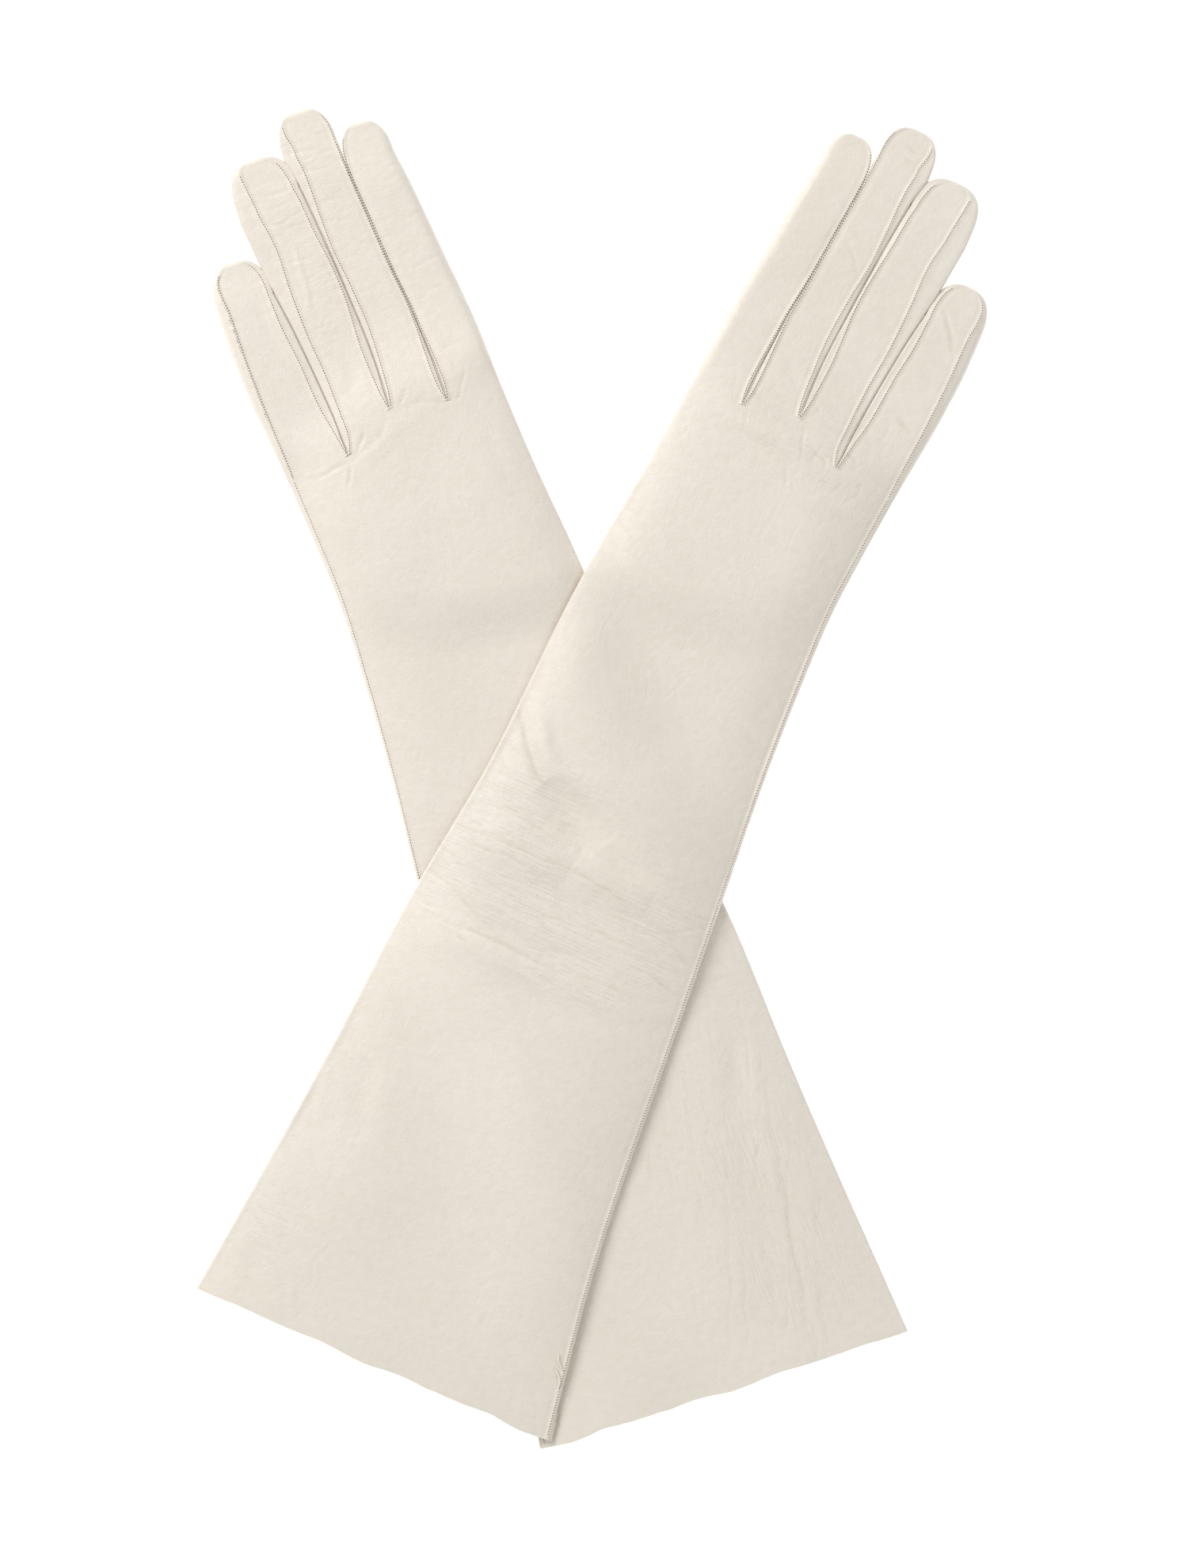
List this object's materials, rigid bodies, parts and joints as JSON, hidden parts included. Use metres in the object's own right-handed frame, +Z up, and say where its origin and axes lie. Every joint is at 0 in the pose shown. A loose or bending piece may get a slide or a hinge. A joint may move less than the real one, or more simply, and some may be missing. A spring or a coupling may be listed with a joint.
{
  "type": "opera gloves",
  "caption": "Pair of elbow-length ivory leather dress gloves lying flat and crossed, backs up, with raised seams, side strips in the fingers and open cuffs.",
  "frame": {"origin": "on the table, below the centre of the crossed pair's bounding box", "axes": "+Z up from the table; +Y towards the fingertips, between the two gloves' long axes; +X towards the right glove's fingers"},
  "size_m": [0.2687, 0.458, 0.0136],
  "materials": {
    "glove_leather": "thin smooth ivory glove leather, soft satin sheen",
    "sewing_thread": "matching fine twisted thread"
  },
  "bodies": {
    "left_arm": {"left_cuff": "glove_leather", "left_arm": "glove_leather", "left_arm_seam_thread": "sewing_thread"},
    "left_hand": {"left_hand": "glove_leather", "left_hand_seam_thread": "sewing_thread", "left_thumb_hole_thread": "sewing_thread"},
    "left_index_finger": {"left_index_shell": "glove_leather", "left_index_outer_fourchette": "glove_leather", "left_index_thread": "sewing_thread"},
    "left_middle_finger": {"left_middle_back": "glove_leather", "left_middle_palm": "glove_leather", "left_middle_inner_fourchette": "glove_leather", "left_middle_outer_fourchette": "glove_leather", "left_middle_thread": "sewing_thread"},
    "left_ring_finger": {"left_ring_back": "glove_leather", "left_ring_palm": "glove_leather", "left_ring_inner_fourchette": "glove_leather", "left_ring_outer_fourchette": "glove_leather", "left_ring_thread": "sewing_thread"},
    "left_little_finger": {"left_little_back": "glove_leather", "left_little_palm": "glove_leather", "left_little_inner_fourchette": "glove_leather", "left_little_thread": "sewing_thread"},
    "left_thumb": {"left_thumb": "glove_leather"},
    "right_arm": {"right_cuff": "glove_leather", "right_arm": "glove_leather", "right_arm_seam_thread": "sewing_thread", "right_thread_ends": "sewing_thread"},
    "right_hand": {"right_hand": "glove_leather", "right_hand_seam_thread": "sewing_thread", "right_thumb_hole_thread": "sewing_thread"},
    "right_index_finger": {"right_index_shell": "glove_leather", "right_index_outer_fourchette": "glove_leather", "right_index_thread": "sewing_thread"},
    "right_middle_finger": {"right_middle_back": "glove_leather", "right_middle_palm": "glove_leather", "right_middle_inner_fourchette": "glove_leather", "right_middle_outer_fourchette": "glove_leather", "right_middle_thread": "sewing_thread"},
    "right_ring_finger": {"right_ring_back": "glove_leather", "right_ring_palm": "glove_leather", "right_ring_inner_fourchette": "glove_leather", "right_ring_outer_fourchette": "glove_leather", "right_ring_thread": "sewing_thread"},
    "right_little_finger": {"right_little_back": "glove_leather", "right_little_palm": "glove_leather", "right_little_inner_fourchette": "glove_leather", "right_little_thread": "sewing_thread"},
    "right_thumb": {"right_thumb": "glove_leather"}
  },
  "joints": [
    {"name": "left_wrist_bend", "type": "hinge", "parent": "left_arm", "child": "left_hand", "pos_m": [-0.0487, 0.07613, 0.0101], "axis": [0.9494, 0.314, 0], "range_deg": [0, 60]},
    {"name": "left_index_bend", "type": "hinge", "parent": "left_hand", "child": "left_index_finger", "pos_m": [-0.04015, 0.13309, 0.0094], "axis": [0.9494, 0.314, 0], "range_deg": [0, 70]},
    {"name": "left_middle_bend", "type": "hinge", "parent": "left_hand", "child": "left_middle_finger", "pos_m": [-0.05916, 0.13007, 0.0095], "axis": [0.9494, 0.314, 0], "range_deg": [0, 70]},
    {"name": "left_ring_bend", "type": "hinge", "parent": "left_hand", "child": "left_ring_finger", "pos_m": [-0.07625, 0.12442, 0.0093], "axis": [0.9494, 0.314, 0], "range_deg": [0, 70]},
    {"name": "left_little_bend", "type": "hinge", "parent": "left_hand", "child": "left_little_finger", "pos_m": [-0.09391, 0.10773, 0.0084], "axis": [0.9494, 0.314, 0], "range_deg": [0, 70]},
    {"name": "left_thumb_swing", "type": "hinge", "parent": "left_hand", "child": "left_thumb", "pos_m": [-0.027, 0.09331, 0.0015], "axis": [0, 0, -1], "range_deg": [0, 105]},
    {"name": "right_wrist_bend", "type": "hinge", "parent": "right_arm", "child": "right_hand", "pos_m": [0.04708, 0.0749, 0.0101], "axis": [0.9157, -0.4019, 0], "range_deg": [0, 60]},
    {"name": "right_index_bend", "type": "hinge", "parent": "right_hand", "child": "right_index_finger", "pos_m": [0.04394, 0.13241, 0.0094], "axis": [0.9157, -0.4019, 0], "range_deg": [0, 70]},
    {"name": "right_middle_bend", "type": "hinge", "parent": "right_hand", "child": "right_middle_finger", "pos_m": [0.06258, 0.12762, 0.0095], "axis": [0.9157, -0.4019, 0], "range_deg": [0, 70]},
    {"name": "right_ring_bend", "type": "hinge", "parent": "right_hand", "child": "right_ring_finger", "pos_m": [0.07906, 0.12038, 0.0093], "axis": [0.9157, -0.4019, 0], "range_deg": [0, 70]},
    {"name": "right_little_bend", "type": "hinge", "parent": "right_hand", "child": "right_little_finger", "pos_m": [0.09507, 0.10211, 0.0084], "axis": [0.9157, -0.4019, 0], "range_deg": [0, 70]},
    {"name": "right_thumb_swing", "type": "hinge", "parent": "right_hand", "child": "right_thumb", "pos_m": [0.0271, 0.09405, 0.0015], "axis": [0, 0, 1], "range_deg": [0, 105]},
    {"name": "right_glove_lift", "type": "slide", "parent": "left_arm", "child": "right_arm", "axis": [0, 0, 1], "range_m": [0, 0.12]}
  ]
}
